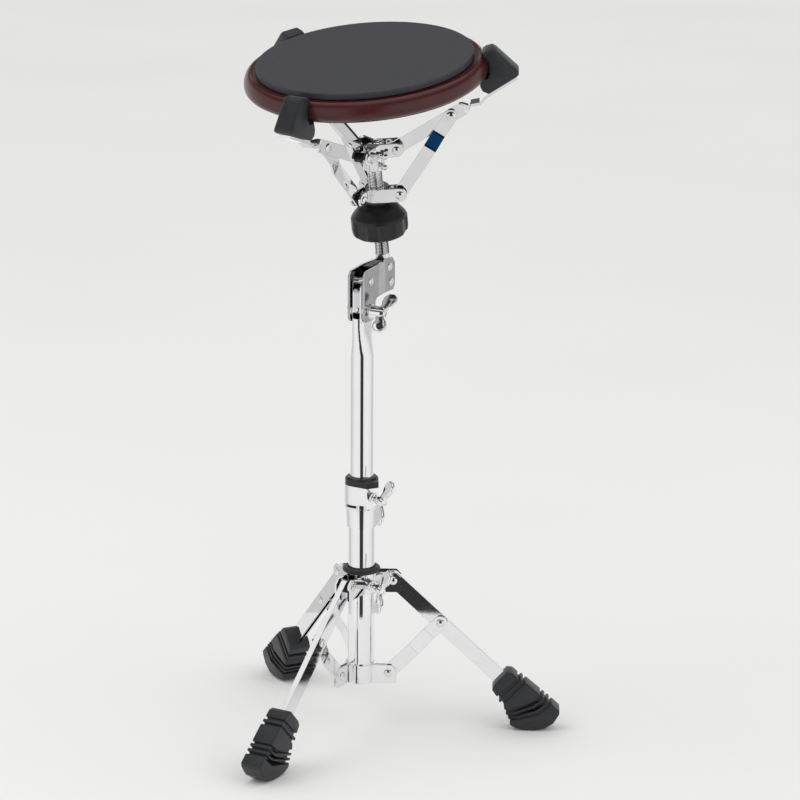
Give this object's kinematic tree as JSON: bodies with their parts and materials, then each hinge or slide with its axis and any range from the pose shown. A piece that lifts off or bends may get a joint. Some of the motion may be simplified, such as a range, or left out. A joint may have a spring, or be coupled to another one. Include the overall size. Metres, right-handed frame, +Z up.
{
  "type": "practice pad on tripod stand",
  "caption": "Round rubber practice pad on a turned wooden base, held by a three-armed basket on a tilting, height-adjustable folding tripod stand.",
  "frame": {"origin": "on the floor, on the centre line of the stand's tubes", "axes": "+Z up along the tubes, +X along the tilter hinge, -Y towards the player, the way the pad leans"},
  "size_m": [0.3403, 0.3125, 0.6683],
  "materials": {
    "chrome_tube": "polished chrome",
    "chrome_strap": "polished chrome on pressed strip",
    "chrome_fastener": "bright plated fasteners",
    "dark_plate": "dark plated sheet",
    "playing_rubber": "fine matt playing rubber",
    "black_rubber": "moulded black rubber",
    "black_plastic": "moulded black plastic",
    "lacquered_wood": "dark red satin lacquer"
  },
  "bodies": {
    "tripod_base": {"lower_tube": "chrome_tube", "brace_hub": "chrome_strap", "brace_hub_rivets": "chrome_fastener", "height_clamp": "chrome_tube", "height_bushing": "black_plastic"},
    "leg_hub_slider": {"leg_hub": "chrome_fastener", "leg_hub_rivets": "chrome_fastener", "leg_pivot_spacers": "black_plastic", "stop_ring": "black_rubber"},
    "leg_hub_wing": {"leg_hub_wing_bolt": "chrome_fastener"},
    "height_wing": {"height_wing_bolt": "chrome_fastener"},
    "post": {"upper_tube": "chrome_tube", "tilter_pivot_bolt": "chrome_fastener", "tilter_clamp_nut": "chrome_fastener"},
    "tilter_wing": {"tilter_wing_bolt": "chrome_fastener"},
    "tilter": {"tilter_cheek_front": "dark_plate", "tilter_cheek_rear": "dark_plate", "tilter_liner": "black_plastic", "tilter_rod_rivets": "chrome_fastener", "basket_rod": "chrome_tube", "upper_hub": "chrome_fastener", "upper_hub_key_bolts": "chrome_fastener", "upper_hub_rivets": "chrome_fastener", "arm_pivot_spacers": "black_plastic", "rod_end_nut": "chrome_fastener"},
    "pad": {"pad_playing_rubber": "playing_rubber", "pad_base_rim": "lacquered_wood", "pad_bottom_mat": "black_rubber"},
    "basket_slider": {"lower_hub": "chrome_fastener", "lower_hub_rivets": "chrome_fastener", "strut_pivot_spacers": "black_plastic", "knob_washer": "black_plastic"},
    "knob": {"adjusting_knob": "black_plastic"},
    "leg_assembly_a": {"leg_a": "chrome_strap", "foot_a": "black_rubber", "leg_rivet_a": "chrome_fastener"},
    "brace_link_a": {"brace_a": "chrome_strap"},
    "leg_assembly_b": {"leg_b": "chrome_strap", "foot_b": "black_rubber", "leg_rivet_b": "chrome_fastener"},
    "brace_link_b": {"brace_b": "chrome_strap"},
    "leg_assembly_c": {"leg_c": "chrome_strap", "foot_c": "black_rubber", "leg_rivet_c": "chrome_fastener"},
    "brace_link_c": {"brace_c": "chrome_strap"},
    "arm_link_a": {"arm_a": "chrome_strap", "grip_a": "black_rubber", "elbow_rivet_a": "chrome_fastener"},
    "strut_link_a": {"strut_a": "chrome_strap"},
    "arm_link_b": {"arm_b": "chrome_strap", "grip_b": "black_rubber", "elbow_rivet_b": "chrome_fastener"},
    "strut_link_b": {"strut_b": "chrome_strap"},
    "arm_link_c": {"arm_c": "chrome_strap", "grip_c": "black_rubber", "elbow_rivet_c": "chrome_fastener"},
    "strut_link_c": {"strut_c": "chrome_strap"}
  },
  "joints": [
    {"name": "leg_hub_slide", "type": "slide", "parent": "tripod_base", "child": "leg_hub_slider", "axis": [0, 0, 1], "range_m": [0, 0.033]},
    {"name": "leg_fold_a", "type": "hinge", "parent": "leg_hub_slider", "child": "leg_assembly_a", "pos_m": [0.02699, 0.01418, 0.1483], "axis": [0.3971, -0.9178, 0], "range_deg": [-26.11, 0]},
    {"name": "brace_fold_a", "type": "hinge", "parent": "tripod_base", "child": "brace_link_a", "pos_m": [0.02702, 0.00352, 0.0573], "axis": [0.3971, -0.9178, 0], "range_deg": [0, 23.44]},
    {"name": "leg_fold_b", "type": "hinge", "parent": "leg_hub_slider", "child": "leg_assembly_b", "pos_m": [-0.02578, 0.01628, 0.1483], "axis": [0.5962, 0.8028, 0], "range_deg": [-26.11, 0]},
    {"name": "brace_fold_b", "type": "hinge", "parent": "tripod_base", "child": "brace_link_b", "pos_m": [-0.01656, 0.02164, 0.0573], "axis": [0.5962, 0.8028, 0], "range_deg": [0, 23.44]},
    {"name": "leg_fold_c", "type": "hinge", "parent": "leg_hub_slider", "child": "leg_assembly_c", "pos_m": [-0.00121, -0.03046, 0.1483], "axis": [-0.9934, 0.1149, 0], "range_deg": [-26.11, 0]},
    {"name": "brace_fold_c", "type": "hinge", "parent": "tripod_base", "child": "brace_link_c", "pos_m": [-0.01046, -0.02516, 0.0573], "axis": [-0.9934, 0.1149, 0], "range_deg": [0, 23.44]},
    {"name": "leg_hub_wing_turn", "type": "hinge", "parent": "leg_hub_slider", "child": "leg_hub_wing", "pos_m": [0.01927, -0.01431, 0.147], "axis": [0.8028, -0.5962, 0], "continuous": true},
    {"name": "height_wing_turn", "type": "hinge", "parent": "tripod_base", "child": "height_wing", "pos_m": [0.02028, -0.01462, 0.234], "axis": [0.8111, -0.585, 0], "continuous": true},
    {"name": "height_slide", "type": "slide", "parent": "tripod_base", "child": "post", "axis": [0, 0, 1], "range_m": [0, 0.08]},
    {"name": "tilter_wing_turn", "type": "hinge", "parent": "post", "child": "tilter_wing", "pos_m": [0.012, 0, 0.4095], "axis": [1, 0, 0], "continuous": true},
    {"name": "tilt", "type": "hinge", "parent": "post", "child": "tilter", "pos_m": [0, 0, 0.4385], "axis": [1, 0, 0], "range_deg": [-11, 17]},
    {"name": "basket_slide", "type": "slide", "parent": "tilter", "child": "basket_slider", "axis": [0, -0.2079, 0.9781], "range_m": [-0.018, 0]},
    {"name": "knob_turn", "type": "hinge", "parent": "basket_slider", "child": "knob", "pos_m": [0, 0.03482, 0.49497], "axis": [0, -0.2079, 0.9781], "range_deg": [-4321, 0]},
    {"name": "pad_settle", "type": "slide", "parent": "tilter", "child": "pad", "axis": [0, -0.2079, 0.9781], "range_m": [-0.0434, 0]},
    {"name": "arm_fold_a", "type": "hinge", "parent": "tilter", "child": "arm_link_a", "pos_m": [0.01985, 0.03084, 0.56089], "axis": [0.3854, -0.9026, -0.1918], "range_deg": [-24.77, 0]},
    {"name": "strut_fold_a", "type": "hinge", "parent": "basket_slider", "child": "strut_link_a", "pos_m": [0.02248, 0.03305, 0.5177], "axis": [0.3854, -0.9026, -0.1918], "range_deg": [-6.66, 0]},
    {"name": "arm_fold_b", "type": "hinge", "parent": "tilter", "child": "arm_link_b", "pos_m": [-0.02012, 0.0303, 0.56077], "axis": [0.4745, 0.861, 0.183], "range_deg": [-24.77, 0]},
    {"name": "strut_fold_b", "type": "hinge", "parent": "basket_slider", "child": "strut_link_b", "pos_m": [-0.01648, 0.04537, 0.52032], "axis": [0.4745, 0.861, 0.183], "range_deg": [-6.66, 0]},
    {"name": "arm_fold_c", "type": "hinge", "parent": "tilter", "child": "arm_link_c", "pos_m": [-0.00143, -0.00037, 0.55425], "axis": [-0.9918, 0.1248, 0.0265], "range_deg": [-24.77, 0]},
    {"name": "strut_fold_c", "type": "hinge", "parent": "basket_slider", "child": "strut_link_c", "pos_m": [-0.00865, 0.00961, 0.51272], "axis": [-0.9918, 0.1248, 0.0265], "range_deg": [-6.66, 0]}
  ],
  "couplings": [
    {"joint": "leg_fold_a", "follows": "leg_hub_slide", "rad_per_m": -13.783},
    {"joint": "brace_fold_a", "follows": "leg_hub_slide", "rad_per_m": 12.372},
    {"joint": "leg_fold_b", "follows": "leg_hub_slide", "rad_per_m": -13.783},
    {"joint": "brace_fold_b", "follows": "leg_hub_slide", "rad_per_m": 12.372},
    {"joint": "leg_fold_c", "follows": "leg_hub_slide", "rad_per_m": -13.783},
    {"joint": "brace_fold_c", "follows": "leg_hub_slide", "rad_per_m": 12.372},
    {"joint": "knob_turn", "follows": "basket_slide", "rad_per_m": 4188.8},
    {"joint": "pad_settle", "follows": "basket_slide", "ratio": 2.4},
    {"joint": "arm_fold_a", "follows": "basket_slide", "rad_per_m": 23.968},
    {"joint": "strut_fold_a", "follows": "basket_slide", "rad_per_m": 6.413},
    {"joint": "arm_fold_b", "follows": "basket_slide", "rad_per_m": 23.968},
    {"joint": "strut_fold_b", "follows": "basket_slide", "rad_per_m": 6.413},
    {"joint": "arm_fold_c", "follows": "basket_slide", "rad_per_m": 23.968},
    {"joint": "strut_fold_c", "follows": "basket_slide", "rad_per_m": 6.413}
  ]
}
